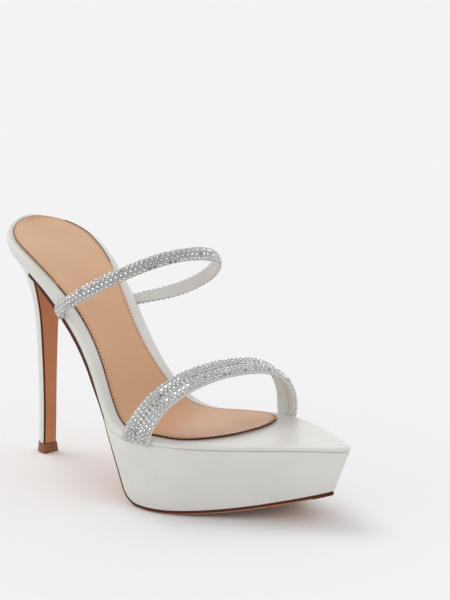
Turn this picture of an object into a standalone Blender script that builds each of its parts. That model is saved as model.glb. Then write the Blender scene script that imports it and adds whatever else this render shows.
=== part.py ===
"""A right-foot platform sandal: footbed, insole sock, platform, outsole, heel, top piece and two straps.

Shapes are worked out in the last's own frame, in millimetres: x runs from the back of the heel (0) to the
toe tip, y is positive to the medial (big toe) side, z is up from the floor. Each mesh is written in metres,
and an empty puts the middle of the whole shoe's bounding box over the origin.
"""

import math

import bmesh
import bpy
import numpy as np
from mathutils import Vector

MM = 0.001

# Driving sizes
GAP = 0.3                  # clearance between pieces that lie against each other
TOE_TIP = 236.9            # x of the toe tip of the footbed
TOE_TIP_Y = 30.4
GROUND_TIP = 226.0         # x of the toe tip of the outsole
GROUND_TIP_Y = 28.7
NOSE = 4.0                 # length of the rounded nose of the footbed, platform and outsole
RIM_HEEL = 27.7            # length of the footbed's round heel
HEEL_LIP = 2.0             # rise of the footbed round the very back of the heel
HEEL_LIP_LENGTH = 5.0
SOCK_START = 3.9
SOCK_END = 173.4
SOCK_END_Y = 16.4
SOCK_HEEL = 25.9           # lengths of the sock's round heel and round toe
SOCK_TOE = 18.0
SOCK_THICKNESS = 0.8
SOCK_BED = 0.2             # clearance of the sock over the footbed
SOLE_THICKNESS = 2.0
SOLE_BEVEL = 0.7           # along the lower edges of the outsole
WAIST_THICKENING = 0.6     # the outsole is this much thicker along the waist
WAIST_MARGIN = 0.2         # and stands this far out past the footbed's underside
WAIST_FLARE = 0.8          # and further out by this much towards the ball of the foot
BREAST_THICKNESS = 0.8     # the outsole thins to this where it covers the heel's breast
BREAST_THINNING = 0.1      # and by this much at each station of the breast
SPRING_START = 146.0       # where the sole starts to rise towards the toe
SPRING_FACTOR = 0.00608
SPRING_POWER = 1.8
HEEL_LEAN = 1.9            # how far the heel's tip stands to the lateral side of its seat
HEEL_LEAN_TOP = 85.0       # height that the lean starts from
TOP_PIECE_HEIGHT = 5.6
STRAP_FOOT = 0.1           # height above the seam that the front strap ends at
TRIM_REACH = 14.0          # how far the cutter under the front strap stands out past the footbed
TRIM_DEPTH = 15.0
SIDE_STEPS = 38            # stations along each outline between its round ends
HEEL_STEPS = 14            # stations round each heel end
NOSE_STEPS = 5             # stations round a small toe end, and their spacing round a wide one
TOE_STEP = 1.6
WALL_STEPS = 26            # stations along the platform's wall
FRONT_STRAP_STEPS = 44
INSTEP_STRAP_STEPS = 52
BEND_WEIGHT = 60.0         # millimetres of length that one radian of bend counts for
SHARP_ANGLE = 40.0         # degrees between two faces that leave a sharp edge

# Side profile of the last: height of the sock's edge, cup across the footbed, height of the footbed's side
# and how far its underside draws in
PROFILE_ROWS = [
    # x, height, cup, edge, undercut
    (0.0, 137.6, 1.6, 7.4, 1.3),
    (13.0, 131.9, 1.6, 7.2, 1.2),
    (23.0, 128.0, 1.5, 7.1, 1.0),
    (33.0, 123.8, 1.4, 7.1, 1.0),
    (43.0, 118.7, 1.2, 7.2, 1.0),
    (53.0, 112.7, 1.0, 7.6, 1.1),
    (63.0, 105.8, 0.9, 8.6, 1.3),
    (73.0, 97.6, 0.8, 9.9, 1.5),
    (83.0, 87.5, 0.8, 11.1, 1.5),
    (93.0, 75.3, 0.8, 12.2, 1.3),
    (103.0, 61.7, 0.8, 11.8, 0.9),
    (108.0, 55.5, 0.8, 10.4, 0.6),
    (113.0, 50.4, 0.8, 8.1, 0.4),
    (118.0, 46.7, 0.8, 5.8, 0.3),
    (124.0, 44.3, 0.8, 4.2, 0.3),
    (133.0, 43.5, 0.8, 3.9, 0.3),
    (143.0, 43.7, 0.8, 3.8, 0.3),
    (168.0, 43.4, 0.6, 3.4, 0.3),
    (198.0, 44.2, 0.2, 3.2, 0.3),
    (237.0, 45.6, 0.0, 3.2, 0.3),
]

# Plan outlines: distance of each side from the heel's centre line
RIM_ROWS = [
    # x, lateral, medial
    (0.8, 28.2, 27.4),
    (18.0, 28.4, 27.7),
    (43.0, 28.8, 26.9),
    (68.0, 27.7, 22.0),
    (83.0, 27.2, 19.3),
    (93.0, 28.2, 19.2),
    (103.0, 30.4, 21.7),
    (118.0, 34.2, 29.6),
    (138.0, 35.9, 41.4),
    (158.0, 30.6, 51.8),
    (178.0, 18.3, 53.4),
    (198.0, 3.1, 48.7),
    (215.0, -11.6, 42.6),
    (TOE_TIP, -27.9, 32.9),
]
SOCK_ROWS = [
    # x, lateral, medial
    (SOCK_START, 23.4, 23.8),
    (18.0, 23.7, 23.7),
    (43.0, 23.9, 22.0),
    (68.0, 21.2, 15.0),
    (93.0, 21.3, 10.9),
    (118.0, 27.7, 22.6),
    (143.0, 27.3, 38.7),
    (157.0, 23.6, 45.5),
    (SOCK_END, 19.5, 50.0),
]
GROUND_ROWS = [
    # x, lateral, medial
    (100.0, 27.6, 17.4),
    (114.0, 28.4, 20.8),
    (127.0, 29.8, 29.0),
    (139.5, 29.9, 37.3),
    (151.7, 26.3, 43.8),
    (164.0, 19.3, 46.8),
    (176.0, 10.6, 46.2),
    (188.5, 1.0, 43.3),
    (200.7, -9.3, 39.5),
    (213.0, -18.5, 35.4),
    (GROUND_TIP, -26.2, 31.2),
]

# The outsole's outer face behind the platform: round its bottom corner and up its slanted rear
REAR_ROWS = [
    # x, z
    (136.0, 0.0),
    (130.5, 0.15),
    (125.3, 1.9),
    (121.4, 5.2),
    (119.2, 10.6),
    (117.4, 16.9),
    (115.4, 22.8),
    (113.2, 27.8),
    (110.8, 32.8),
    (108.1, 37.8),
    (105.3, 42.8),
]
WALL_START = 100.0         # the platform's wall is laid out from this station to the toe
WAIST_FRONT = 101.0        # the outsole follows the footbed between these two stations
WAIST_BACK = 42.5
WAIST_RAMP = 7.0           # length over which the outsole thickens at each end of the waist
FLARE_START = 72.0         # the outsole widens between these two stations
FLARE_END = 92.0

# The outsole's outer face on the heel's breast, with its half width there
BREAST_ROWS = [
    # x, z, half_width
    (38.5, 110.4, 27.6),
    (34.5, 110.3, 25.0),
    (30.5, 108.9, 21.2),
    (27.0, 106.2, 17.0),
    (24.2, 102.2, 13.1),
    (22.2, 97.0, 10.4),
    (21.0, 90.0, 8.3),
    (20.5, 81.0, 6.7),
    (20.4, 70.0, 5.8),
    (20.4, 55.0, 5.1),
    (20.3, 40.0, 4.6),
    (20.0, 22.0, 4.4),
    (19.3, 5.9, 4.4),
]

# Back of the heel for the same stations, and how square its section is
HEEL_BACK_ROWS = [
    # back_x, back_z, squareness
    (2.2, 128.5, 2.1),
    (1.9, 126.0, 2.1),
    (1.8, 121.8, 2.1),
    (2.3, 116.5, 2.1),
    (3.4, 110.5, 2.1),
    (5.3, 103.0, 2.1),
    (7.8, 93.5, 2.0),
    (9.4, 82.5, 2.0),
    (10.3, 70.0, 2.0),
    (10.8, 55.0, 2.0),
    (11.0, 40.0, 2.0),
    (11.0, 22.0, 2.0),
    (10.7, 5.9, 2.0),
]

# Straps: the crown line of each band from its lateral end to its medial end, the band's width, and the
# direction that the width lies in (turned outwards from straight ahead, then tipped down)
STRAP_THICKNESS = 3.0
FRONT_STRAP_ROWS = [
    # x, y, z, width, turn, tip
    (136.6, -35.6, 31.0, 19.4, 8.0, 3.0),
    (139.7, -36.5, 38.1, 19.4, 6.0, 3.0),
    (143.0, -37.2, 46.9, 18.8, 0.0, 6.0),
    (146.6, -34.9, 54.9, 18.2, -5.0, 9.0),
    (149.5, -30.0, 62.2, 18.0, -8.0, 9.6),
    (151.9, -20.9, 68.6, 18.0, -8.2, 9.6),
    (154.3, -7.3, 73.6, 18.0, -8.2, 9.6),
    (156.1, 9.4, 75.9, 18.0, -8.2, 9.6),
    (157.5, 26.4, 75.4, 18.0, -8.2, 9.6),
    (158.9, 41.0, 72.2, 18.0, -8.2, 9.6),
    (159.8, 50.8, 65.6, 18.0, -8.0, 9.6),
    (160.2, 56.2, 56.2, 18.0, -10.0, 9.0),
    (160.1, 57.5, 46.5, 17.6, -13.0, 8.0),
    (159.4, 56.7, 38.2, 17.4, -15.0, 6.0),
    (158.2, 54.8, 31.0, 17.4, -15.0, 6.0),
]
INSTEP_STRAP_ROWS = [
    # x, y, z, width, turn, tip
    (65.4, -28.9, 94.4, 6.2, 0.0, 40.0),
    (69.4, -32.4, 97.0, 6.5, 0.0, 45.0),
    (75.2, -36.9, 100.4, 6.8, -2.0, 53.0),
    (84.0, -40.9, 104.9, 7.0, -4.0, 58.0),
    (95.5, -42.9, 111.0, 7.0, -4.8, 59.5),
    (109.1, -38.2, 119.4, 7.0, -4.8, 59.5),
    (122.8, -27.7, 128.2, 7.0, -4.8, 59.5),
    (134.8, -14.0, 135.1, 7.0, -4.8, 59.5),
    (141.6, 1.1, 137.5, 7.0, -4.8, 59.5),
    (140.5, 16.8, 135.0, 7.0, -4.8, 59.5),
    (131.0, 32.5, 128.4, 7.0, -4.8, 59.5),
    (116.0, 44.3, 119.0, 7.0, -4.8, 59.5),
    (99.4, 49.4, 108.8, 7.0, -4.8, 59.5),
    (85.0, 44.5, 100.6, 7.0, -8.0, 55.0),
    (76.4, 36.6, 96.9, 6.7, -12.0, 50.0),
    (70.2, 29.2, 94.8, 6.3, -16.0, 44.0),
    (65.8, 24.6, 93.2, 6.0, -18.0, 40.0),
]


def natural_spline(xs, ys):
    """The smooth curve through the points, straight beyond its ends."""
    xs = np.asarray(xs, float)
    ys = np.asarray(ys, float)
    step = np.diff(xs)
    slope = np.diff(ys) / step
    size = len(xs)
    matrix = np.eye(size)
    right = np.zeros(size)
    for i in range(1, size - 1):
        matrix[i, i - 1:i + 2] = step[i - 1], 2 * (step[i - 1] + step[i]), step[i]
        right[i] = 6 * (slope[i] - slope[i - 1])
    bend = np.linalg.solve(matrix, right)

    def value(x):
        i = int(np.clip(np.searchsorted(xs, x) - 1, 0, size - 2))
        left, rest = x - xs[i], xs[i + 1] - x
        cubic = bend[i] * (rest ** 3 / step[i] - step[i] * rest) + bend[i + 1] * (left ** 3 / step[i] - step[i] * left)
        return cubic / 6 + (ys[i] * rest + ys[i + 1] * left) / step[i]

    return value


def columns(rows, key=0):
    """One smooth curve for each column of a table, read against its key column."""
    table = list(zip(*rows))
    return [natural_spline(table[key], column) for i, column in enumerate(table) if i != key]


profile_height, cup_depth, edge_height, undercut = columns(PROFILE_ROWS)


def last_height(x):
    """Height of the sock's edge, rising into a lip round the very back of the heel."""
    return profile_height(x) + HEEL_LIP * max(0.0, 1 - x / HEEL_LIP_LENGTH) ** 2


def under_height(x):
    """Height of the footbed's underside at its edge."""
    return last_height(x) - edge_height(x)


def slope_angle(x):
    return math.atan(last_height(x + 0.5) - last_height(x - 0.5))


def ground_height(x):
    """Underside of the sole: flat, then rising to the toe."""
    return SPRING_FACTOR * max(0.0, x - SPRING_START) ** SPRING_POWER


def crowded(first, last, count):
    """Stations along the last that crowd together where its profile bends."""
    fine = np.linspace(first, last, 400)
    turned = np.abs(np.diff([slope_angle(x) for x in fine]))
    spent = np.concatenate([[0.0], np.cumsum(np.diff(fine) + BEND_WEIGHT * turned)])
    return np.interp(np.linspace(0.0, spent[-1], count + 1), spent, fine)


class Outline:
    """A plan outline: two side curves closed by a round heel and a round toe."""

    def __init__(self, rows, heel, toe, tip_y, squareness=2.0):
        self.lateral, self.medial = columns(rows)
        self.start = rows[0][0]
        self.end = rows[-1][0]
        self.heel = heel
        self.toe = toe
        self.tip_y = tip_y
        self.squareness = squareness
        self.stations = crowded(self.start + heel, self.end - toe, SIDE_STEPS)

    def sides(self, x, inset=0.0):
        """(lateral y, medial y) at x, moved inwards by the inset, before the heel is rounded."""
        lateral = -self.lateral(x) + inset * math.hypot(1, self.lateral(x + 0.5) - self.lateral(x - 0.5))
        medial = self.medial(x) - inset * math.hypot(1, self.medial(x + 0.5) - self.medial(x - 0.5))
        toe_x = self.end - self.toe
        if x <= toe_x:
            return lateral, medial
        share = math.sqrt(max(0.0, 1 - ((x - toe_x) / (self.toe - inset)) ** 2))
        return self.tip_y + (lateral - self.tip_y) * share, self.tip_y + (medial - self.tip_y) * share

    def ring(self, inset):
        """(x, lateral y, medial y) round the outline, moved inwards by inset(x)."""
        rows = []
        heel_x = self.start + self.heel
        toe_x = self.end - self.toe
        toe_steps = max(NOSE_STEPS, round(self.toe / TOE_STEP))
        for i in range(HEEL_STEPS):
            turn = math.pi / 2 * i / HEEL_STEPS
            x = heel_x - (self.heel - inset(self.start)) * math.cos(turn) ** (2 / self.squareness)
            share = math.sin(turn) ** (2 / self.squareness)
            rows.append((x, *(side * share for side in self.sides(x, inset(x)))))
        for x in self.stations[:-1]:
            rows.append((x, *self.sides(x, inset(x))))
        for i in range(toe_steps + 1):
            x = toe_x + (self.toe - inset(self.end)) * math.sin(math.pi / 2 * i / toe_steps)
            rows.append((x, *self.sides(x, inset(self.end))))
        return rows


rim = Outline(RIM_ROWS, heel=RIM_HEEL, toe=NOSE, tip_y=TOE_TIP_Y)
sock = Outline(SOCK_ROWS, heel=SOCK_HEEL, toe=SOCK_TOE, tip_y=SOCK_END_Y, squareness=2.1)
ground = Outline(GROUND_ROWS, heel=0.0, toe=NOSE, tip_y=GROUND_TIP_Y)


def material(name, colour, roughness, metallic=0.0):
    made = bpy.data.materials.new(name)
    made.use_nodes = True
    shader = made.node_tree.nodes["Principled BSDF"]
    shader.inputs["Base Color"].default_value = (*colour, 1)
    shader.inputs["Roughness"].default_value = roughness
    shader.inputs["Metallic"].default_value = metallic
    made.diffuse_color = (*colour, 1)
    return made


def add_piece(name, points, faces, look, collection):
    """A closed mesh of the points (millimetres), with doubles merged and faces pointing out."""
    shape = bmesh.new()
    corners = [shape.verts.new(Vector(point) * MM) for point in points]
    for face in faces:
        shape.faces.new([corners[i] for i in face])
    bmesh.ops.remove_doubles(shape, verts=shape.verts, dist=0.002 * MM)
    bmesh.ops.recalc_face_normals(shape, faces=shape.faces)
    mesh = bpy.data.meshes.new(name)
    shape.to_mesh(mesh)
    shape.free()
    mesh.shade_smooth()
    mesh.set_sharp_from_angle(angle=math.radians(SHARP_ANGLE))
    made = bpy.data.objects.new(name, mesh)
    if look:
        made.data.materials.append(look)
    collection.objects.link(made)
    return made


def ring_faces(count, size, first=0):
    """Quads between each closed ring of points and the next."""
    faces = []
    for ring in range(count - 1):
        for i in range(size):
            a = first + ring * size + i
            b = first + ring * size + (i + 1) % size
            faces.append((a, b, b + size, a + size))
    return faces


def strip_faces(first, size):
    """Closes a ring that runs out along one side and back along the other, with strips across it."""
    faces = []
    for i in range(size // 2 - 1):
        faces.append((first + i, first + i + 1, first + size - 2 - i, first + size - 1 - i))
    return faces


def slab(name, outline, levels, top, depth, draw_in, look, collection, parallel=False, across=8):
    """A sheet with a shaped edge. levels lists (inset, share of the depth); top(x, q) gives its upper face,
    where q runs from -1 at the lateral edge to 1 at the medial edge; draw_in(x) is how far its underside
    stands in from its edge. The underside is parallel to the upper face, or flat across."""
    points, faces = [], []

    def cover(inset, drop):
        """Faces right across the outline, lower than the upper face by drop(x)."""
        first = len(points)
        rows = outline.ring(inset)
        for x, lateral, medial in rows:
            for i in range(across + 1):
                points.append((x, lateral + (medial - lateral) * i / across, top(x, 2 * i / across - 1) - drop(x)))
        for row in range(len(rows) - 1):
            for i in range(across):
                a = first + row * (across + 1) + i
                faces.append((a, a + 1, a + across + 2, a + across + 1))

    cover(lambda x: levels[0][0], lambda x: 0.0)
    first = len(points)
    for inset, share in levels:
        ring = outline.ring(lambda x: inset + draw_in(x) * share ** 2)
        heights = [top(x, 1.0) - depth(x) * share for x, _, _ in ring]
        points += [(x, lateral, z) for (x, lateral, _), z in zip(ring, heights)]
        points += [(x, medial, z) for (x, _, medial), z in zip(ring, heights)][::-1]
    size = 2 * len(ring)
    faces += ring_faces(len(levels), size, first)
    if parallel:
        cover(lambda x: levels[-1][0] + draw_in(x), depth)
    else:
        faces += strip_faces(first + (len(levels) - 1) * size, size)
    return add_piece(name, points, faces, look, collection)


def footbed_top(x, q):
    return last_height(x) - SOCK_THICKNESS - SOCK_BED - cup_depth(x) * (1 - q * q)


def sock_top(x, q):
    return last_height(x) - cup_depth(x) * (1 - q * q)


def platform_wall(upper_x, share, inset=0.0):
    """(x, lateral y, medial y, z) on the line from the seam at upper_x down to the outsole."""
    s = (upper_x - WALL_START) / (TOE_TIP - WALL_START)
    lower_x = WALL_START + s * (GROUND_TIP - WALL_START)
    seam = (upper_x, *rim.sides(upper_x, inset + undercut(upper_x)), under_height(upper_x) - GAP)
    foot = (lower_x, *ground.sides(lower_x), ground_height(lower_x) + SOLE_THICKNESS + GAP)
    return [a + (b - a) * share for a, b in zip(seam, foot)]


def wall_sides(x, z):
    """(lateral y, medial y) of the platform's wall where it passes x at the height z."""
    upper_x, share = x, 0.0
    for _ in range(12):
        top, foot = platform_wall(upper_x, 0.0)[3], platform_wall(upper_x, 1.0)[3]
        share = (top - z) / (top - foot)
        upper_x += x - platform_wall(upper_x, share)[0]
    return platform_wall(upper_x, share)[1:3]


def sole_path():
    """Outer face of the outsole from toe tip to heel tip, as (x, z, lateral y, medial y, thickness)."""
    path = []
    nose = [GROUND_TIP - NOSE * (1 - math.sin(math.radians(turn))) for turn in (68, 45, 22)]
    for x in [*nose, *np.linspace(REAR_ROWS[0][0], GROUND_TIP - NOSE, 21)[:0:-1]]:
        path.append((x, ground_height(x), *ground.sides(x), SOLE_THICKNESS))
    smooth_rear = columns([(i, *row) for i, row in enumerate(REAR_ROWS)])
    for i in range(2 * len(REAR_ROWS) - 1):
        x, z = (column(i / 2) for column in smooth_rear)
        path.append((x, z, *wall_sides(x, z), SOLE_THICKNESS))
    for x in [x for x in rim.stations if WAIST_BACK < x < WAIST_FRONT][::-1]:
        share = min(1.0, (x - WAIST_BACK) / WAIST_RAMP, (WAIST_FRONT - x) / WAIST_RAMP)
        thickness = SOLE_THICKNESS + WAIST_THICKENING * share
        drop = (thickness + GAP) / math.cos(slope_angle(x))
        above = x + share * (thickness + GAP) * math.sin(slope_angle(x))
        flare = WAIST_FLARE * min(1.0, max(0.0, (x - FLARE_START) / (FLARE_END - FLARE_START)))
        sides = rim.sides(above, undercut(above) - (WAIST_MARGIN + flare) * share)
        path.append((x, under_height(x) - drop, *sides, thickness))
    smooth_breast = columns([(i, *row) for i, row in enumerate(BREAST_ROWS)])
    for i in range(2 * len(BREAST_ROWS) - 1):
        x, z, half = (column(i / 2) for column in smooth_breast)
        middle = -HEEL_LEAN * max(0.0, 1 - z / HEEL_LEAN_TOP)
        thickness = max(BREAST_THICKNESS, SOLE_THICKNESS - BREAST_THINNING * i)
        path.append((x, z, middle - half, middle + half, thickness))
    return path


def inner_face(path, clearance=0.0):
    """The path moved to the outsole's inner face, and past it by the clearance."""
    moved = []
    for i, (x, z, lateral, medial, thickness) in enumerate(path):
        before, after = path[max(0, i - 1)], path[min(len(path) - 1, i + 1)]
        along = Vector((after[0] - before[0], after[1] - before[1])).normalized()
        moved.append((x + along.y * (thickness + clearance), z - along.x * (thickness + clearance)))
    return moved


def build_outsole(look, collection):
    path = sole_path()
    bevelled = inner_face([(*row[:4], SOLE_BEVEL) for row in path])
    points = []
    for (x, z, lateral, medial, _), (edge_x, edge_z), (inner_x, inner_z) in zip(path, bevelled, inner_face(path)):
        bevel = min(SOLE_BEVEL, (medial - lateral) / 4)
        points += [
            (x, lateral + bevel, z),
            (x, medial - bevel, z),
            (edge_x, medial, edge_z),
            (inner_x, medial, inner_z),
            (inner_x, lateral, inner_z),
            (edge_x, lateral, edge_z),
        ]
    faces = ring_faces(len(path), 6) + [tuple(range(6)), tuple(range(len(points) - 6, len(points)))]
    return add_piece("outsole", points, faces, look, collection)


def build_platform(look, collection):
    """Rings from the seam down to the outsole. Each starts where its level meets the slanted rear."""
    rear = [(z, x) for x, z in inner_face(sole_path(), 1.4 * GAP) if 90.0 < x < 136.0]
    rear_z, rear_x = zip(*sorted(rear))
    levels = [
        # share of the height, inset
        (0.0, 0.9),
        (0.015, 0.3),
        (0.04, 0.0),
        (0.2, 0.0),
        (0.4, 0.0),
        (0.6, 0.0),
        (0.74, 0.0),
        (0.84, 0.0),
        (0.91, 0.0),
        (0.955, 0.0),
        (0.985, 0.0),
        (1.0, 0.0),
    ]

    points = []
    for share, inset in levels:
        low, high = WALL_START, TOE_TIP - NOSE
        for _ in range(40):
            middle = (low + high) / 2
            x, _, _, z = platform_wall(middle, share, inset)
            behind = x < np.interp(z, rear_z, rear_x)
            low, high = (middle, high) if behind else (low, middle)
        stations = list(crowded(high, TOE_TIP - NOSE, WALL_STEPS))
        for turn in (22, 45, 68, 90):
            stations.append(TOE_TIP - NOSE + (NOSE - inset) * math.sin(math.radians(turn)))
        ring = [platform_wall(x, share, inset) for x in stations]
        points += [(x, lateral, z) for x, lateral, _, z in ring]
        points += [(x, medial, z) for x, _, medial, z in ring][::-1]
    size = 2 * len(stations)
    faces = ring_faces(len(levels), size) + strip_faces(0, size)
    faces += strip_faces((len(levels) - 1) * size, size)
    return add_piece("platform", points, faces, look, collection)


def half_section(front, back, half, middle, squareness, steps=12):
    """D-shaped section, flat in front and round behind, as (x, y)."""
    section = []
    for i in range(steps + 1):
        turn = math.pi * i / steps
        side = math.copysign(abs(math.cos(turn)) ** (2 / squareness), math.cos(turn))
        share = math.sin(turn) ** (2 / squareness)
        section.append((front - (front - back) * share, middle + half * side))
    return section


def build_heel(look, collection):
    """Rings from the seat down to the tip, each flat in front against the outsole."""
    breast = sole_path()[-(2 * len(BREAST_ROWS) - 1):]
    back_x, back_z, squareness = columns([(i, *row) for i, row in enumerate(HEEL_BACK_ROWS)])
    points = []
    rings = 0
    for i, ((x, z), (_, _, lateral, medial, _)) in enumerate(zip(inner_face(breast, GAP), breast)):
        if z > under_height(x) - 2 * GAP:
            continue
        section = half_section(x, back_x(i / 2), (medial - lateral) / 2, (medial + lateral) / 2, squareness(i / 2))
        for px, py in section:
            seat = under_height(px) - GAP
            slanted = z + (back_z(i / 2) - z) * (x - px) / (x - back_x(i / 2))
            points.append((px, py, min(slanted, seat) if rings else seat))
        rings += 1
    size = len(section)
    faces = ring_faces(rings, size)
    for first in (0, (rings - 1) * size):
        faces += [(first + i, first + i + 1, first + size - 2 - i, first + size - 1 - i) for i in range(size // 2 - 1)]
        middle = first + size // 2
        faces.append((middle - 1, middle, middle + 1))
    return add_piece("heel", points, faces, look, collection)


def build_top_piece(look, collection):
    middle = -HEEL_LEAN
    lower = half_section(19.9, 9.6, 5.0, middle, 2.3)
    upper = half_section(19.5, 10.3, 4.55, middle, 2.2)
    points = [(x, y, 0.0) for x, y in lower] + [(x, y, TOP_PIECE_HEIGHT) for x, y in upper]
    size = len(lower)
    faces = ring_faces(2, size) + [tuple(range(size)), tuple(range(size, 2 * size))]
    return add_piece("top_piece", points, faces, look, collection)


def strap_frames(rows, steps):
    """Places along the band's crown line: (point, width, forward across the band, outward)."""
    lengths = [0.0]
    for before, after in zip(rows, rows[1:]):
        lengths.append(lengths[-1] + math.dist(before[:3], after[:3]))
    curves = columns([(length, *row) for length, row in zip(lengths, rows)])
    frames = []
    for i in range(steps + 1):
        s = lengths[-1] * i / steps
        x, y, z, width, turn, tip = (curve(s) for curve in curves)
        along = Vector(curve(s + 0.2) - curve(s - 0.2) for curve in curves[:3]).normalized()
        turn, tip = math.radians(turn), math.radians(tip)
        forward = Vector((math.cos(turn) * math.cos(tip), math.sin(turn) * math.cos(tip), -math.sin(tip)))
        forward = (forward - along * forward.dot(along)).normalized()
        frames.append((Vector((x, y, z)), width, forward, forward.cross(along)))
    return frames


def rolled_section(width, thickness, rolls, steps=6):
    """Flat lining and one or more round rolls on it, as (across the band, outwards), outwards 0 at the crown."""
    roll = width / rolls
    groove = 0.42 * thickness
    section = []
    for number in range(rolls):
        centre = (number + 0.5) * roll - width / 2
        for i in range(steps + 1):
            turn = math.pi * i / steps
            side = -math.copysign(abs(math.cos(turn)) ** 0.8, math.cos(turn))
            outer_edge = (number == 0 and i == 0) or (number == rolls - 1 and i == steps)
            base = 0.75 * thickness if outer_edge else groove
            if i == 0 and number:
                continue
            section.append((centre + side * roll / 2, -base * (1 - math.sin(turn) ** 0.9)))
    section.append((width / 2 - 0.4, -thickness))
    section.append((0.4 - width / 2, -thickness))
    return section


def build_strap(name, rows, rolls, steps, look, collection, margin=0.0):
    """Sweeps the rolled section, grown by the margin, along the band's crown line."""
    points = []
    for point, width, forward, outward in strap_frames(rows, steps):
        section = rolled_section(width, STRAP_THICKNESS, rolls)
        for side, out in section:
            grown_side = side + math.copysign(margin, side)
            grown_out = out - margin if out <= -STRAP_THICKNESS else out + margin
            points.append(tuple(point + forward * grown_side + outward * grown_out))
    size = len(section)
    faces = ring_faces(steps + 1, size)
    faces += [tuple(range(size)), tuple(range(len(points) - size, len(points)))]
    return add_piece(name, points, faces, look, collection)


def cut(piece, cutter):
    modifier = piece.modifiers.new("cut for " + cutter.name, "BOOLEAN")
    modifier.operation = "DIFFERENCE"
    modifier.object = cutter
    cutter.hide_render = True
    cutter.display_type = "WIRE"


def main():
    for old in list(bpy.data.objects):
        bpy.data.objects.remove(old)
    scene = bpy.context.scene
    pieces = bpy.data.collections.new("platform sandal")
    cutters = bpy.data.collections.new("cutters")
    scene.collection.children.link(pieces)
    scene.collection.children.link(cutters)

    white = material("off-white leather", (0.78, 0.77, 0.73), 0.35)
    tan = material("tan lining leather", (0.62, 0.42, 0.29), 0.45)
    brown = material("brown sole leather", (0.34, 0.16, 0.09), 0.5)
    rubber = material("brown top piece", (0.28, 0.15, 0.1), 0.5)
    silver = material("silver crystal band", (0.72, 0.72, 0.72), 0.25, 0.5)

    edge_levels = [(3.0, 0.0), (1.5, 0.03), (0.6, 0.12), (0.12, 0.3), (0.0, 0.5), (0.0, 0.75), (0.0, 1.0)]
    footbed = slab(
        "footbed", rim, edge_levels, footbed_top,
        lambda x: edge_height(x) - SOCK_THICKNESS - SOCK_BED, undercut, white, pieces)
    sock_levels = [(0.25, 0.0), (0.0, 0.25), (0.0, 1.0)]
    slab(
        "insole_sock", sock, sock_levels, sock_top,
        lambda x: SOCK_THICKNESS, lambda x: 0.0, tan, pieces, parallel=True)
    build_platform(white, pieces)
    build_outsole(brown, pieces)
    build_heel(white, pieces)
    build_top_piece(rubber, pieces)

    front = build_strap("front_strap", FRONT_STRAP_ROWS, 2, FRONT_STRAP_STEPS, silver, pieces)
    slot = build_strap("front_strap_slot", FRONT_STRAP_ROWS, 2, FRONT_STRAP_STEPS, None, cutters, margin=GAP)
    cut(footbed, slot)
    below_seam = slab(
        "below_seam", rim, [(-TRIM_REACH, 0.0), (-TRIM_REACH, 1.0)],
        lambda x, q: under_height(x) + STRAP_FOOT, lambda x: TRIM_DEPTH, lambda x: 0.0, None, cutters)
    cut(front, below_seam)
    instep = build_strap("instep_strap", INSTEP_STRAP_ROWS, 1, INSTEP_STRAP_STEPS, silver, pieces)
    clearance = slab(
        "footbed_clearance", rim, [(inset - GAP, share) for inset, share in edge_levels],
        lambda x, q: footbed_top(x, q) + GAP,
        lambda x: edge_height(x) + SOLE_THICKNESS / math.cos(slope_angle(x)),
        undercut, None, cutters)
    cut(instep, clearance)

    corners = [corner.co for piece in pieces.objects for corner in piece.data.vertices]
    middle_x = (min(c.x for c in corners) + max(c.x for c in corners)) / 2
    middle_y = (min(c.y for c in corners) + max(c.y for c in corners)) / 2
    origin = bpy.data.objects.new("sandal_origin", None)
    origin.location = (-middle_x, -middle_y, 0)
    scene.collection.objects.link(origin)
    for made in list(pieces.objects) + list(cutters.objects):
        made.parent = origin


main()
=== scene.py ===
"""A right-foot platform sandal: off-white leather footbed, platform and stiletto heel, tan leather sock and
sole, and two crystal-covered straps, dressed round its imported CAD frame."""

import math
import random

import bmesh
import bpy
import numpy as np
from mathutils import Matrix, Vector
from mathutils.bvhtree import BVHTree


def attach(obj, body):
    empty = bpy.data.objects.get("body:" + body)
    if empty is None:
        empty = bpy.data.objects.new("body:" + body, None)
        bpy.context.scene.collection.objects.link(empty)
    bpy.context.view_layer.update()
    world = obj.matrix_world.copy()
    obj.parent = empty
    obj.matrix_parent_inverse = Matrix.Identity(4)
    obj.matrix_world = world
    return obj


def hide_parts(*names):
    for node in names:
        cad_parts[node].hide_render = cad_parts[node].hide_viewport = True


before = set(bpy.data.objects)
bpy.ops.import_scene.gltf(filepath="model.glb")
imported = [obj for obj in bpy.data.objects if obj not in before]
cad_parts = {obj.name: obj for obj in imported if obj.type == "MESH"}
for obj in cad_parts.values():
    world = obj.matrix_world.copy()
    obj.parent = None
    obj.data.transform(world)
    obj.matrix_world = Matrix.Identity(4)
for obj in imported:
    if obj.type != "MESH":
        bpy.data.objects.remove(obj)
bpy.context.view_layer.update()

# Footbed. A board and steel shank cut to the last, with smooth off-white nappa pulled over its rim and
# lasted under. The nappa has a fine, nearly closed grain, a soft gloss and a slight unevenness where it
# was stretched.
MM = 0.001
WELD = 0.001 * MM               # corners this close are one


def welded(node, name, sharp_angle):
    """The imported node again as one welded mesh, smooth but for its real edges."""
    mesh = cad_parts[node].data.copy()
    mesh.name = name
    mesh.materials.clear()
    shape = bmesh.new()
    shape.from_mesh(mesh)
    bmesh.ops.remove_doubles(shape, verts=shape.verts, dist=WELD)
    bmesh.ops.recalc_face_normals(shape, faces=shape.faces)
    for face in shape.faces:
        face.smooth = True
    for edge in shape.edges:
        edge.smooth = edge.calc_face_angle(0) < math.radians(sharp_angle)
    shape.to_mesh(mesh)
    shape.free()
    return placed(name, mesh, node)


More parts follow.
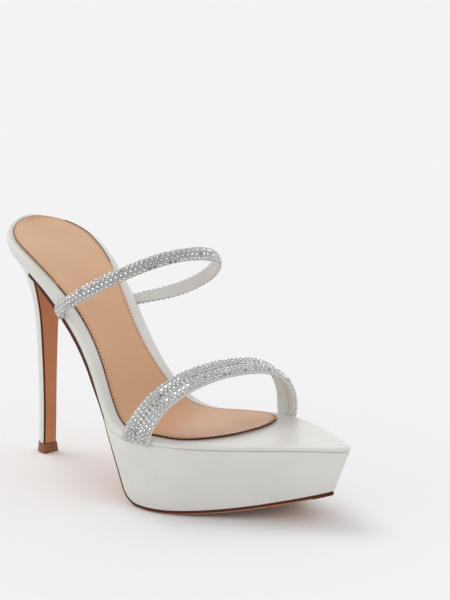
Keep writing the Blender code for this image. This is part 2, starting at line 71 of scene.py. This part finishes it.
def placed(name, mesh, stands_for=None):
    """A piece of the sandal with this mesh, riding on the one body."""
    made = bpy.data.objects.new(name, mesh)
    bpy.context.scene.collection.objects.link(made)
    if stands_for:
        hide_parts(stands_for)
    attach(made, "root")
    return made


def new_group(name, values, results):
    """An empty node group with number inputs (name: value, None for a place) and named outputs."""
    made = bpy.data.node_groups.new(name, "ShaderNodeTree")
    for label, value in values.items():
        kind = "NodeSocketVector" if value is None else "NodeSocketFloat"
        socket = made.interface.new_socket(label, in_out="INPUT", socket_type=kind)
        if value is not None:
            socket.default_value = value
    for label in results:
        made.interface.new_socket(label, in_out="OUTPUT", socket_type="NodeSocketFloat")
    return made, made.nodes.new("NodeGroupInput").outputs, made.nodes.new("NodeGroupOutput").inputs


def add(tree, kind, values=None, links=None, **settings):
    """A node with its settings, constant inputs and incoming links."""
    made = tree.nodes.new("ShaderNode" + kind)
    for name, value in settings.items():
        setattr(made, name, value)
    for key, value in (values or {}).items():
        made.inputs[key].default_value = value
    for key, source in (links or {}).items():
        tree.links.new(source, made.inputs[key])
    return made


def sum_of(tree, *terms):
    """The sum of (socket, weight) terms."""
    total = None
    for socket, weight in terms:
        scaled = add(tree, "Math", {1: weight}, {0: socket}, operation="MULTIPLY").outputs[0]
        if total is not None:
            scaled = add(tree, "Math", links={0: total, 1: scaled}, operation="ADD").outputs[0]
        total = scaled
    return total


def spread(tree, source, start, end, first, last):
    """A value read between start and end, laid smoothly between first and last."""
    return add(
        tree, "MapRange", {"From Min": start, "From Max": end, "To Min": first, "To Max": last},
        {"Value": source}, interpolation_type="SMOOTHSTEP").outputs[0]


def blended(tree, share, first, second):
    """Two colours blended by a share, each of the three a socket or a constant."""
    made = add(tree, "Mix", data_type="RGBA")
    for socket, value in ((made.inputs[0], share), (made.inputs[6], first), (made.inputs[7], second)):
        if isinstance(value, bpy.types.NodeSocket):
            tree.links.new(value, socket)
        else:
            socket.default_value = (*value, 1) if isinstance(value, tuple) else value
    return made.outputs[2]


# the grain that every leather here shares: closed pebbles, fine pores, and slow lumps from stretching
grain, given, result = new_group(
    "leather grain", {"Place": None, "Pebbles per metre": 1600.0, "Crease": 0.5}, ("Height", "Tone", "Pores"))
wander = add(grain, "TexNoise", {"Scale": 420.0, "Detail": 2.0}, {"Vector": given["Place"]})
bend = add(
    grain, "VectorMath", {1: (0.001, 0.001, 0.001)}, {0: wander.outputs["Color"]}, operation="MULTIPLY")
bent = add(grain, "VectorMath", links={0: given["Place"], 1: bend.outputs[0]}, operation="ADD")
pebbles = add(
    grain, "TexVoronoi", links={"Vector": bent.outputs[0], "Scale": given["Pebbles per metre"]},
    feature="DISTANCE_TO_EDGE")
ridge = spread(grain, pebbles.outputs["Distance"], 0.0, 0.22, 0.0, 1.0)
crease = add(grain, "Math", links={0: ridge, 1: given["Crease"]}, operation="MULTIPLY").outputs[0]
pore = add(grain, "TexVoronoi", {"Scale": 2600.0}, {"Vector": given["Place"]})
pore_mask = spread(grain, pore.outputs["Distance"], 0.05, 0.2, 1.0, 0.0)
slow = add(grain, "TexNoise", {"Scale": 46.0, "Detail": 3.0, "Roughness": 0.55}, {"Vector": given["Place"]})
lump = add(grain, "TexNoise", {"Scale": 160.0, "Detail": 2.0}, {"Vector": given["Place"]})
grain_height = sum_of(grain, (crease, 1.0), (pore_mask, -0.35), (lump.outputs["Fac"], 1.5))
grain.links.new(grain_height, result["Height"])
grain.links.new(slow.outputs["Fac"], result["Tone"])
grain.links.new(pore_mask, result["Pores"])


PORE_SHARE = 0.1                # how much of its own darker tone a pore shows
PORE_TONE = 0.45                # that tone, as a share of the leather's dark colour


def leather(name, dark, light, gloss, pebbles, crease, relief, dye=None):
    """A finished leather: tone between two colours, gloss between two roughnesses, relief in metres."""
    made = bpy.data.materials.new(name)
    made.use_nodes = True
    tree = made.node_tree
    shader = tree.nodes["Principled BSDF"]
    place = add(tree, "TexCoord").outputs["Object"]
    hide = add(tree, "Group", node_tree=grain)
    tree.links.new(place, hide.inputs["Place"])
    hide.inputs["Pebbles per metre"].default_value = pebbles
    hide.inputs["Crease"].default_value = crease
    tone = spread(tree, hide.outputs["Tone"], 0.3, 0.7, 0.0, 1.0)
    colour = blended(tree, tone, dark, light)
    pores = add(tree, "Math", {1: PORE_SHARE}, {0: hide.outputs["Pores"]}, operation="MULTIPLY").outputs[0]
    colour = blended(tree, pores, colour, tuple(PORE_TONE * part for part in dark))
    if dye:
        colour = dye(tree, place, colour)
    tree.links.new(colour, shader.inputs["Base Color"])
    tree.links.new(spread(tree, hide.outputs["Tone"], 0.3, 0.7, *gloss), shader.inputs["Roughness"])
    raised = add(tree, "Bump", {"Strength": 0.35, "Distance": relief}, {"Height": hide.outputs["Height"]})
    tree.links.new(raised.outputs[0], shader.inputs["Normal"])
    return made


nappa = leather("off-white nappa", (0.675, 0.66, 0.625), (0.715, 0.7, 0.66), (0.3, 0.4), 1900.0, 0.5, 0.00004)
footbed = welded("footbed", "footbed_cover", 50.0)
footbed.data.materials.append(nappa)

# Insole sock. Thin tan calf glued on the footbed, its cut edge sealed with dark brown paint that laps a
# little onto the top along the lateral side, and a row of small thread stitches just inside the edge.
PAINT_BEAD = [
    # out past the edge, up from the cut (millimetres)
    (-0.2, 0.04),
    (-0.16, 0.14),
    (-0.04, 0.18),
    (0.08, 0.05),
    (0.1, -0.2),
    (0.07, -0.62),
]
STITCH_INSET = 1.15 * MM
STITCH_PITCH = 2.0 * MM
STITCH_SIZE = (0.95 * MM, 0.8 * MM, 0.4 * MM)
UPRIGHT = 0.002 * MM            # an edge of the cut stands upright when its ends lie this close in plan
SLOPE_INSET = 2 * MM            # how far inside the edge the sock's slope is read
PAINT_GLOSS = 0.12


def sock_shade(tree, place, colour):
    """The calf darkens a little towards the ball of the foot."""
    x = add(tree, "SeparateXYZ", links={0: place}).outputs["X"]
    return blended(tree, spread(tree, x, -0.1, 0.02, 0.0, 1.0), colour, (0.6, 0.335, 0.185))


def closed_line(edges):
    """The points of this one closed run of edges, in order."""
    beside = {}
    for edge in edges:
        for here, there in (edge.verts, reversed(edge.verts)):
            beside.setdefault(here, []).append(there)
    line = [next(iter(beside))]
    for _ in range(len(beside) - 1):
        line.append(next(v for v in beside[line[-1]] if v not in line))
    return line


def standing(point, along, outward):
    """The placing that turns x along and z outward at this point."""
    side = outward.cross(along).normalized()
    return Matrix.Translation(point) @ Matrix((side.cross(outward), side, outward)).transposed().to_4x4()


def finished(shape, name):
    """The bmesh as a mesh of this name."""
    made = bpy.data.meshes.new(name)
    shape.to_mesh(made)
    shape.free()
    return made


def repeated(name, mesh, places):
    """One mesh with a copy of a small mesh at each place."""
    shape = bmesh.new()
    for place in places:
        count = len(shape.verts)
        shape.from_mesh(mesh)
        shape.verts.ensure_lookup_table()
        bmesh.ops.transform(shape, matrix=place, verts=shape.verts[count:])
    return finished(shape, name)


calf = leather(
    "tan lining calf", (0.66, 0.4, 0.245), (0.7, 0.43, 0.265), (0.36, 0.46), 1500.0, 0.4, 0.00003, sock_shade)
paint = leather(
    "dark edge paint", (0.08, 0.02, 0.011), (0.1, 0.027, 0.015), (0.35, 0.45), 1500.0, 0.2, 0.00002)
paint.node_tree.nodes["Principled BSDF"].inputs["Specular IOR Level"].default_value = PAINT_GLOSS
sock = welded("insole_sock", "sock_calf", 50.0)
sock.data.materials.append(calf)

shape = bmesh.new()
shape.from_mesh(sock.data)
surface = BVHTree.FromBMesh(shape)
posts = [edge for edge in shape.edges if (edge.verts[0].co - edge.verts[1].co).xy.length < UPRIGHT]
tops = {max(post.verts, key=lambda v: v.co.z) for post in posts}
cut_faces = {face for post in posts for face in post.link_faces}
rim_edges = [
    edge for edge in shape.edges
    if tops.issuperset(edge.verts) and len(cut_faces.intersection(edge.link_faces)) == 1]
edge_line = [v.co.copy() for v in closed_line(rim_edges)]
shape.free()
following = edge_line[1:] + edge_line[:1]
if sum(here.x * there.y - there.x * here.y for here, there in zip(edge_line, following)) < 0:
    edge_line.reverse()
middle = sum(edge_line, Vector()) / len(edge_line)
frames = []
for before, here, after in zip(edge_line[-1:] + edge_line, edge_line, edge_line[1:] + edge_line[:1]):
    along = (after - before).normalized()
    up = surface.find_nearest(here + (middle - here).normalized() * SLOPE_INSET)[1]
    frames.append((here, along, along.cross(up).normalized(), up))

# the bead's lap and rise fade out round the heel and along the medial side
shape = bmesh.new()
rings = []
for reach, rise in PAINT_BEAD:
    ring = []
    for here, _, out, up in frames:
        share = max(0.0, -out.y, out.x if here.x > 0 else 0.0)
        across = reach * share if reach < 0 else reach
        above = rise * share if rise > 0 else rise
        ring.append(shape.verts.new(here + out * (across * MM) + up * (above * MM)))
    rings.append([shape.edges.new(pair) for pair in zip(ring, ring[1:] + ring[:1])])
for inner, outer in zip(rings, rings[1:]):
    bmesh.ops.bridge_loops(shape, edges=inner + outer)
bmesh.ops.recalc_face_normals(shape, faces=shape.faces)
bead = placed("sock_edge_paint", finished(shape, "sock_edge_paint"))
bead.data.shade_smooth()
bead.data.materials.append(paint)

shape = bmesh.new()
bmesh.ops.create_icosphere(shape, subdivisions=1, radius=0.5)
bmesh.ops.scale(shape, vec=STITCH_SIZE, verts=shape.verts)
one_stitch = finished(shape, "one stitch")
stitch_line = [here - out * STITCH_INSET for here, _, out, _ in frames]
stitch_places = []
left = 0.0
for here, there in zip(stitch_line, stitch_line[1:] + stitch_line[:1]):
    step = there - here
    while left < step.length:
        spot, up, _, _ = surface.find_nearest(here + step * (left / step.length) + Vector((0, 0, MM)))
        stitch_places.append(standing(spot, step.normalized(), up))
        left += STITCH_PITCH
    left -= step.length
stitches = placed("sock_stitches", repeated("sock_stitches", one_stitch, stitch_places))
stitches.data.shade_smooth()
# The thread's dark brown is partly its own colour and partly painted shade of the stitch holes.
stitches.data.materials.append(
    leather("brown thread with painted hole shade", (0.19, 0.075, 0.042), (0.23, 0.095, 0.052), (0.6, 0.7), 4000.0, 1.0, 0.00003))

# Platform. A light core wrapped in the same nappa, the wrap turned in at the seam under the footbed's rim
# and lasted under before the outsole goes on.
platform = welded("platform", "platform_cover", 50.0)
platform.data.materials.append(nappa)

# Outsole. One piece of tan sole leather from the toe to the tip of the heel, where it covers the breast.
# Its cut edges are painted dark brown, and the bevel below the forefoot's edge is left tan.
FOREFOOT_EDGE = 14 * MM         # below this, in front, the bevel keeps the colour of the sole
TIP_LENGTH = 1.5 * MM           # length of the toe's tip that is painted all round
WAIST_LEDGE = 40 * MM           # above this the paint also laps onto the ledge beside the footbed
SIDE_FACING = 0.35              # how far a face turns to the side, front, top or floor to count as facing it
FRONT_FACING = 0.5
LEDGE_FACING = 0.3


def tread_shade(tree, place, colour):
    """The sole is buffed paler and greyer where the forefoot treads."""
    axes = add(tree, "SeparateXYZ", links={0: place}).outputs
    low = spread(tree, axes["Z"], 0.003, 0.01, 1.0, 0.0)
    forward = spread(tree, axes["X"], -0.05, -0.03, 0.0, 1.0)
    tread = add(tree, "Math", links={0: low, 1: forward}, operation="MULTIPLY").outputs[0]
    return blended(tree, tread, colour, (0.4, 0.205, 0.13))


sole_leather = leather(
    "tan sole leather", (0.48, 0.185, 0.072), (0.53, 0.21, 0.085), (0.5, 0.62), 1200.0, 0.3, 0.00003,
    tread_shade)
outsole = welded("outsole", "outsole_leather", 30.0)
outsole.data.materials.append(sole_leather)
outsole.data.materials.append(paint)
front_end = max(vert.co.x for vert in outsole.data.vertices)
for face in outsole.data.polygons:
    forefoot = face.center.z < FOREFOOT_EDGE and face.center.x > 0
    waist = face.center.z > WAIST_LEDGE
    tip = face.center.x > front_end - TIP_LENGTH
    side = abs(face.normal.y) > SIDE_FACING
    front = forefoot and face.normal.x > FRONT_FACING
    ledge = waist and face.normal.z > LEDGE_FACING
    bevel = forefoot and face.normal.z < -LEDGE_FACING
    face.material_index = int(tip or ((side or front or ledge) and not bevel))

# Heel. A moulded stiletto core with a steel pin, covered in nappa whose cut edges meet the outsole along
# the breast.
heel = welded("heel", "heel_cover", 50.0)
heel.data.materials.append(nappa)

# Top piece. A small block of hard brown urethane that takes the wear. It is pinned into the heel's tip and
# trimmed flush with it.
urethane = leather(
    "brown urethane", (0.21, 0.066, 0.022), (0.25, 0.08, 0.028), (0.4, 0.5), 900.0, 0.1, 0.00002)
top_piece = welded("top_piece", "top_piece_block", 30.0)
top_piece.data.materials.append(urethane)

# Front strap. A padded leather band with two round rolls, covered in rows of round foiled crystals, each in
# a silver cup, and lined with off-white leather that shows as a strip along the toe side. Its feet end at
# the seam over the platform. The sizes of the straps and crystals are in millimetres.
HEEL_BACK = Vector((118.931, 7.997, 0))     # from the back of the heel, where both strap tables start
STRAP_THICKNESS = 3.0
FRONT_STRAP_ROWS = [
    # x, y, z, width, turn, tip
    (136.6, -35.6, 31.0, 19.4, 8.0, 3.0),
    (139.7, -36.5, 38.1, 19.4, 6.0, 3.0),
    (143.0, -37.2, 46.9, 18.8, 0.0, 6.0),
    (146.6, -34.9, 54.9, 18.2, -5.0, 9.0),
    (149.5, -30.0, 62.2, 18.0, -8.0, 9.6),
    (151.9, -20.9, 68.6, 18.0, -8.2, 9.6),
    (154.3, -7.3, 73.6, 18.0, -8.2, 9.6),
    (156.1, 9.4, 75.9, 18.0, -8.2, 9.6),
    (157.5, 26.4, 75.4, 18.0, -8.2, 9.6),
    (158.9, 41.0, 72.2, 18.0, -8.2, 9.6),
    (159.8, 50.8, 65.6, 18.0, -8.0, 9.6),
    (160.2, 56.2, 56.2, 18.0, -10.0, 9.0),
    (160.1, 57.5, 46.5, 17.6, -13.0, 8.0),
    (159.4, 56.7, 38.2, 17.4, -15.0, 6.0),
    (158.2, 54.8, 31.0, 17.4, -15.0, 6.0),
]


def smooth_curve(xs, ys):
    """The smooth curve through the points, straight beyond its ends."""
    xs = np.asarray(xs, float)
    ys = np.asarray(ys, float)
    step = np.diff(xs)
    slope = np.diff(ys) / step
    matrix = np.eye(len(xs))
    right = np.zeros(len(xs))
    for i in range(1, len(xs) - 1):
        matrix[i, i - 1:i + 2] = step[i - 1], 2 * (step[i - 1] + step[i]), step[i]
        right[i] = 6 * (slope[i] - slope[i - 1])
    bend = np.linalg.solve(matrix, right)

    def value(x):
        i = int(np.clip(np.searchsorted(xs, x) - 1, 0, len(xs) - 2))
        left, rest = x - xs[i], xs[i + 1] - x
        here = bend[i] * (rest ** 3 / step[i] - step[i] * rest)
        there = bend[i + 1] * (left ** 3 / step[i] - step[i] * left)
        return (here + there) / 6 + (ys[i] * rest + ys[i + 1] * left) / step[i]

    return value


PROBE = 0.2             # how far to each side of a point its direction is read


def band_line(rows):
    """The band's crown line: its length, and a function from a distance along it to its place there."""
    lengths = [0.0]
    for before, after in zip(rows, rows[1:]):
        lengths.append(lengths[-1] + math.dist(before[:3], after[:3]))
    curves = [smooth_curve(lengths, column) for column in zip(*rows)]

    def at(s):
        x, y, z, width, turn, tip = (curve(s) for curve in curves)
        along = Vector(curve(s + PROBE) - curve(s - PROBE) for curve in curves[:3]).normalized()
        turn, tip = math.radians(turn), math.radians(tip)
        forward = Vector((math.cos(turn) * math.cos(tip), math.sin(turn) * math.cos(tip), -math.sin(tip)))
        forward = (forward - along * forward.dot(along)).normalized()
        return Vector((x, y, z)) - HEEL_BACK, width, along, forward, forward.cross(along)

    return lengths[-1], at


ROLL_WIDTH_POWER = 0.8  # how full a roll's section is, across and outwards
ROLL_HEIGHT_POWER = 0.9
EDGE_FALL = 0.75        # how far a roll falls at the band's edge and between two rolls, in its thickness
GROOVE_FALL = 0.42


def roll_arc(width, rolls, steps=24):
    """The rounded outside of the band from its rear edge, as (distance round it, across, outwards)."""
    roll = width / rolls
    arc = []
    for number in range(rolls):
        centre = (number + 0.5) * roll - width / 2
        for i in range(steps + 1):
            turn = math.pi * i / steps
            side = -math.copysign(abs(math.cos(turn)) ** ROLL_WIDTH_POWER, math.cos(turn))
            edge = (number == 0 and i < steps / 2) or (number == rolls - 1 and i > steps / 2)
            base = (EDGE_FALL if edge else GROOVE_FALL) * STRAP_THICKNESS
            place = (centre + side * roll / 2, base * (math.sin(turn) ** ROLL_HEIGHT_POWER - 1))
            arc.append((arc[-1][0] + math.dist(arc[-1][1:], place) if arc else 0.0, *place))
    return arc


STONE = 2.3             # diameter of a crystal's girdle
STONE_SIDES = 8
STONE_HEIGHT = 0.62
TABLE_RADIUS = 0.3 * STONE
TABLE_BEVEL = 0.06 * STONE
CUP_SIDES = 10
CUP_PROFILE = [
    # radius, height
    (STONE / 2 - 0.1, STONE_HEIGHT * 0.45),
    (STONE / 2 + 0.12, STONE_HEIGHT * 0.3),
    (STONE / 2 + 0.12, -0.25),
]

shape = bmesh.new()
bmesh.ops.create_cone(
    shape, cap_ends=True, segments=STONE_SIDES, radius1=STONE / 2, radius2=TABLE_RADIUS, depth=STONE_HEIGHT)
table_rim = [edge for edge in shape.edges if all(v.co.z > 0 for v in edge.verts)]
bmesh.ops.bevel(
    shape, geom=table_rim, offset=TABLE_BEVEL, segments=1, profile=0.5, affect="EDGES", material=-1)
bmesh.ops.delete(shape, geom=[face for face in shape.faces if face.normal.z < -0.9], context="FACES_ONLY")
bmesh.ops.translate(shape, vec=(0, 0, STONE_HEIGHT / 2), verts=shape.verts)
bmesh.ops.scale(shape, vec=(MM, MM, MM), verts=shape.verts)
one_stone = finished(shape, "one crystal")

shape = bmesh.new()
path = [shape.verts.new((x, 0, z)) for x, z in CUP_PROFILE]
walls = [shape.edges.new(pair) for pair in zip(path, path[1:])]
bmesh.ops.spin(
    shape, geom=path + walls, axis=(0, 0, 1), cent=(0, 0, 0), angle=2 * math.pi, steps=CUP_SIDES,
    use_merge=True)
bmesh.ops.recalc_face_normals(shape, faces=shape.faces)
bmesh.ops.scale(shape, vec=(MM, MM, MM), verts=shape.verts)
one_cup = finished(shape, "one cup")

# The crystals' sparkle is painted into their colour: each facet's glint tone makes it a painted highlight, a
# painted dark reflection or a grey in between.
crystal = bpy.data.materials.new("foiled crystal")
crystal.use_nodes = True
tree = crystal.node_tree
shader = tree.nodes["Principled BSDF"]
shader.inputs["Metallic"].default_value = 1.0
glint_tone = add(tree, "Attribute", attribute_name="glint_tone").outputs["Fac"]
glint_colour = blended(tree, spread(tree, glint_tone, 0.0, 1.0, 0.0, 1.0), (0.12, 0.12, 0.125), (0.97, 0.97, 0.96))
tree.links.new(glint_colour, shader.inputs["Base Color"])
tree.links.new(spread(tree, glint_tone, 0.0, 1.0, 0.16, 0.06), shader.inputs["Roughness"])


def silvered(name, dark, light):
    """A satin silver finish, finely pebbled, between two tones of grey."""
    made = bpy.data.materials.new(name)
    made.use_nodes = True
    tree = made.node_tree
    shader = tree.nodes["Principled BSDF"]
    shader.inputs["Metallic"].default_value = 0.85
    place = add(tree, "TexCoord").outputs["Object"]
    cells = add(tree, "TexVoronoi", {"Scale": 1300.0}, {"Vector": place}, feature="DISTANCE_TO_EDGE")
    cloud = add(tree, "TexNoise", {"Scale": 500.0, "Detail": 2.0}, {"Vector": place}).outputs["Fac"]
    tree.links.new(blended(tree, cloud, dark, light), shader.inputs["Base Color"])
    tree.links.new(spread(tree, cloud, 0.3, 0.7, 0.4, 0.55), shader.inputs["Roughness"])
    pebble = spread(tree, cells.outputs["Distance"], 0.0, 0.3, 0.0, 1.0)
    raised = add(tree, "Bump", {"Strength": 0.5, "Distance": 0.00005}, {"Height": pebble})
    tree.links.new(raised.outputs[0], shader.inputs["Normal"])
    return made


cup_silver = silvered("silver cups", (0.58, 0.58, 0.57), (0.74, 0.74, 0.73))
# The bed's silver is darker than the cups' partly as its own tone and partly as painted shade in the groove
# between the rolls and the gaps between the cups.
shaded_mesh_silver = silvered("silver mesh with painted shade", (0.42, 0.42, 0.41), (0.56, 0.56, 0.55))
lining = leather("pale strap lining", (0.6, 0.59, 0.56), (0.64, 0.63, 0.6), (0.4, 0.5), 1700.0, 0.4, 0.00003)


STATIONS = 160          # places along a band that its faces are sorted by
END_FACING = 0.8        # how far a face turns along the band to be its cut end, or inwards to be its lining
UNDER_FACING = 0.3
SEAT_REACH = 0.9        # a crystal is set only where the bed lies within this slack, this far to both sides
SEAT_SLACK = 0.45
TILT = 0.03             # how unevenly the crystals are set
# Tones of the painted reflections on the crystals: a bright table is a painted highlight, a dark table a
# painted dark reflection, and the side facets carry painted reflections.
DARK_REFLECTION_SHARE = 0.06       # share of the crystals whose table looks dark
DARK_REFLECTION = 0.15
CROWN_REFLECTIONS = (0.2, 0.35, 0.45, 0.6)        # a crystal's side facets


def crystal_band(name, rows, rolls, pitch, arcs, staggered, strip, seed):
    """The band's bed and lining, and its crystals and cups in rows at these distances round the rolls."""
    band = welded(name, name + "_bed", 35.0)
    band.data.materials.append(shaded_mesh_silver)
    band.data.materials.append(lining)
    length, at = band_line(rows)
    stations = [at(length * i / STATIONS) for i in range(STATIONS + 1)]
    for face in band.data.polygons:
        centre = face.center / MM
        nearest = min(stations, key=lambda station: (station[0] - centre).length)
        point, width, along, forward, outward = nearest
        edge = (centre - point).dot(forward) > width / 2 - strip
        under = face.normal.dot(outward) < -UNDER_FACING
        end = abs(face.normal.dot(along)) > END_FACING
        face.material_index = int(under or edge or end)
    bed = BVHTree.FromPolygons([v.co for v in band.data.vertices], [p.vertices for p in band.data.polygons])
    full_arc = roll_arc(rows[len(rows) // 2][3], rolls)[-1][0]
    chance = random.Random(seed)
    places = []
    for column in range(int(length / pitch) + 1):
        for row, distance in enumerate(arcs):
            s = pitch * (column + (0.5 if staggered and row % 2 else 0.0))
            point, width, along, forward, outward = at(s)
            arc = roll_arc(width, rolls)
            distance *= arc[-1][0] / full_arc
            i = max(j for j, spot in enumerate(arc[:-1]) if spot[0] <= distance)
            share = (distance - arc[i][0]) / (arc[i + 1][0] - arc[i][0])
            across, out = (arc[i][k] + share * (arc[i + 1][k] - arc[i][k]) for k in (1, 2))
            before, after = arc[max(i - 1, 0)], arc[min(i + 2, len(arc) - 1)]
            run, rise = after[1] - before[1], after[2] - before[2]
            facing = (outward * run - forward * rise).normalized()
            seat = point + forward * across + outward * out
            ends = [
                bed.find_nearest((seat + along * reach) * MM)[3] for reach in (-SEAT_REACH, SEAT_REACH)]
            if max(ends) > SEAT_SLACK * MM:
                continue
            facing = (facing + Vector([chance.uniform(-TILT, TILT) for _ in range(3)])).normalized()
            spin = Matrix.Rotation(chance.uniform(0, math.pi / 4), 4, "Z")
            places.append(standing(seat * MM, along, facing) @ spin)
    stones = placed(name + "_crystals", repeated(name + "_crystals", one_stone, places))
    stones.data.materials.append(crystal)
    tones = stones.data.attributes.new("glint_tone", "FLOAT", "FACE")
    # each table gets a painted highlight, now and then a painted dark reflection instead, and each side facet
    # a painted reflection tone
    for i, face in enumerate(stones.data.polygons):
        table = len(face.vertices) == STONE_SIDES
        table_glint = chance.uniform(0.85, 1.0) if chance.random() > DARK_REFLECTION_SHARE else DARK_REFLECTION
        tones.data[i].value = table_glint if table else chance.choice(CROWN_REFLECTIONS)
    cups = placed(name + "_cups", repeated(name + "_cups", one_cup, places))
    cups.data.shade_smooth()
    cups.data.materials.append(cup_silver)


FACING = 0.3            # thickness of the lining's upper layer
FACING_REAR = 0.45      # how far it stands out behind the band's rear edge
FACING_FRONT = 3.0      # how far it reaches past the middle of the band
FACING_STATIONS = 90


def facing(name, rows, first, last):
    """The upper layer of the strap's lining, from one distance along the band to another."""
    at = band_line(rows)[1]
    shape = bmesh.new()
    rings = []
    for s in np.linspace(first, last, FACING_STATIONS):
        point, width, _, forward, outward = at(s)
        rear = -width / 2 - FACING_REAR
        corners = [(rear, 0.3), (FACING_FRONT, 0.1), (FACING_FRONT, -FACING), (rear, -FACING)]
        spots = [point + forward * across + outward * (out - STRAP_THICKNESS) for across, out in corners]
        ring = [shape.verts.new(spot * MM) for spot in spots]
        rings.append([shape.edges.new(pair) for pair in zip(ring, ring[1:] + ring[:1])])
    for here, there in zip(rings, rings[1:]):
        bmesh.ops.bridge_loops(shape, edges=here + there)
    bmesh.ops.holes_fill(shape, edges=rings[0] + rings[-1])
    bmesh.ops.recalc_face_normals(shape, faces=shape.faces)
    made = placed(name, finished(shape, name))
    made.data.materials.append(lining)


FRONT_PITCH = 2.75
FRONT_ARCS = [1.55, 4.1, 6.65, 9.2, 12.0, 14.45, 16.9, 19.35]   # each row's distance round the rolls
FRONT_STRIP = 0.55      # width of the lining that shows along the toe side
FRONT_SEED = 5
FACING_ENDS = (11.0, 148.0)     # distances along the band that its facing runs between

facing("front_strap_facing", FRONT_STRAP_ROWS, *FACING_ENDS)
crystal_band(
    "front_strap", FRONT_STRAP_ROWS, 2, FRONT_PITCH, FRONT_ARCS, staggered=False, strip=FRONT_STRIP,
    seed=FRONT_SEED)

# Instep strap. The same work on one narrower roll, with the rows staggered. Its ends are glued in under the
# footbed's rim.
INSTEP_STRAP_ROWS = [
    # x, y, z, width, turn, tip
    (65.4, -28.9, 94.4, 6.2, 0.0, 40.0),
    (69.4, -32.4, 97.0, 6.5, 0.0, 45.0),
    (75.2, -36.9, 100.4, 6.8, -2.0, 53.0),
    (84.0, -40.9, 104.9, 7.0, -4.0, 58.0),
    (95.5, -42.9, 111.0, 7.0, -4.8, 59.5),
    (109.1, -38.2, 119.4, 7.0, -4.8, 59.5),
    (122.8, -27.7, 128.2, 7.0, -4.8, 59.5),
    (134.8, -14.0, 135.1, 7.0, -4.8, 59.5),
    (141.6, 1.1, 137.5, 7.0, -4.8, 59.5),
    (140.5, 16.8, 135.0, 7.0, -4.8, 59.5),
    (131.0, 32.5, 128.4, 7.0, -4.8, 59.5),
    (116.0, 44.3, 119.0, 7.0, -4.8, 59.5),
    (99.4, 49.4, 108.8, 7.0, -4.8, 59.5),
    (85.0, 44.5, 100.6, 7.0, -8.0, 55.0),
    (76.4, 36.6, 96.9, 6.7, -12.0, 50.0),
    (70.2, 29.2, 94.8, 6.3, -16.0, 44.0),
    (65.8, 24.6, 93.2, 6.0, -18.0, 40.0),
]
INSTEP_PITCH = 2.9
INSTEP_ARCS = [1.15, 3.2, 5.25, 7.3]
INSTEP_STRIP = 0.45
INSTEP_SEED = 8

crystal_band(
    "instep_strap", INSTEP_STRAP_ROWS, 1, INSTEP_PITCH, INSTEP_ARCS, staggered=True, strip=INSTEP_STRIP,
    seed=INSTEP_SEED)

# Studio. A wide pale floor under one broad overhead light, in a pale room that is darker on the side the
# camera stands.
FLOOR_SIZE = 12.0
FLOOR_TONE = 0.87
CAMERA_TURN, CAMERA_LIFT, CAMERA_ROLL = 49.817, 14.324, 0.899      # degrees
CAMERA_PLACE = (1.27118, -1.03513, 0.52468)
CAMERA_LENS = 187.0
ROOM_LEVELS = (1.45, 0.6)           # brightness of the room at floor height and overhead
NEAR_SIDE = (0.88, 0.98)            # the room falls to this share between these two nearnesses to the camera
NEAR_SHARE = 0.5
LAMP_LEVEL = 0.85
LAMP_SPREAD = 32                    # degrees
LAMP_LEFT, LAMP_AWAY = 0.3, 0.32    # how far the light leans to the left and away from the camera

shape = bmesh.new()
bmesh.ops.create_grid(shape, x_segments=2, y_segments=2, size=FLOOR_SIZE)
floor = bpy.data.objects.new("floor", finished(shape, "floor"))
bpy.context.scene.collection.objects.link(floor)
backdrop = bpy.data.materials.new("pale backdrop")
backdrop.use_nodes = True
shader = backdrop.node_tree.nodes["Principled BSDF"]
shader.inputs["Base Color"].default_value = (FLOOR_TONE, FLOOR_TONE, FLOOR_TONE, 1)
shader.inputs["Roughness"].default_value = 0.9
shader.inputs["Specular IOR Level"].default_value = 0.0
floor.data.materials.append(backdrop)

turn, lift, roll = (math.radians(angle) for angle in (CAMERA_TURN, CAMERA_LIFT, CAMERA_ROLL))
back = Vector((math.sin(turn) * math.cos(lift), -math.cos(turn) * math.cos(lift), math.sin(lift)))
right = Vector((math.cos(turn), math.sin(turn), 0))
up = back.cross(right)

room = bpy.data.worlds.new("studio room")
bpy.context.scene.world = room
room.use_nodes = True
tree = room.node_tree
way = add(tree, "TexCoord").outputs["Generated"]
height = add(tree, "SeparateXYZ", links={0: way}).outputs["Z"]
toward = add(tree, "VectorMath", {1: tuple(back)}, {0: way}, operation="DOT_PRODUCT").outputs["Value"]
ceiling = spread(tree, height, 0.0, 0.9, *ROOM_LEVELS)
shade = spread(tree, toward, *NEAR_SIDE, 1.0, NEAR_SHARE)
level = add(tree, "Math", links={0: ceiling, 1: shade}, operation="MULTIPLY").outputs[0]
tree.nodes["Background"].inputs["Color"].default_value = (1, 1, 1, 1)
tree.links.new(level, tree.nodes["Background"].inputs["Strength"])

lamp = bpy.data.lights.new("overhead light", "SUN")
lamp.energy = LAMP_LEVEL
lamp.angle = math.radians(LAMP_SPREAD)
overhead = bpy.data.objects.new("overhead light", lamp)
source = Vector((0, 0, 1)) - LAMP_LEFT * right - LAMP_AWAY * back
overhead.rotation_euler = source.to_track_quat("Z", "Y").to_euler()
bpy.context.scene.collection.objects.link(overhead)

camera_data = bpy.data.cameras.new("camera")
camera_data.sensor_width = 36.0
camera_data.lens = CAMERA_LENS
camera = bpy.data.objects.new("camera", camera_data)
across = right * math.cos(roll) - up * math.sin(roll)
upright = right * math.sin(roll) + up * math.cos(roll)
axes = Matrix((across, upright, back)).transposed().to_4x4()
camera.matrix_world = Matrix.Translation(CAMERA_PLACE) @ axes
bpy.context.scene.collection.objects.link(camera)
bpy.context.scene.camera = camera
bpy.context.scene.view_settings.view_transform = "Standard"
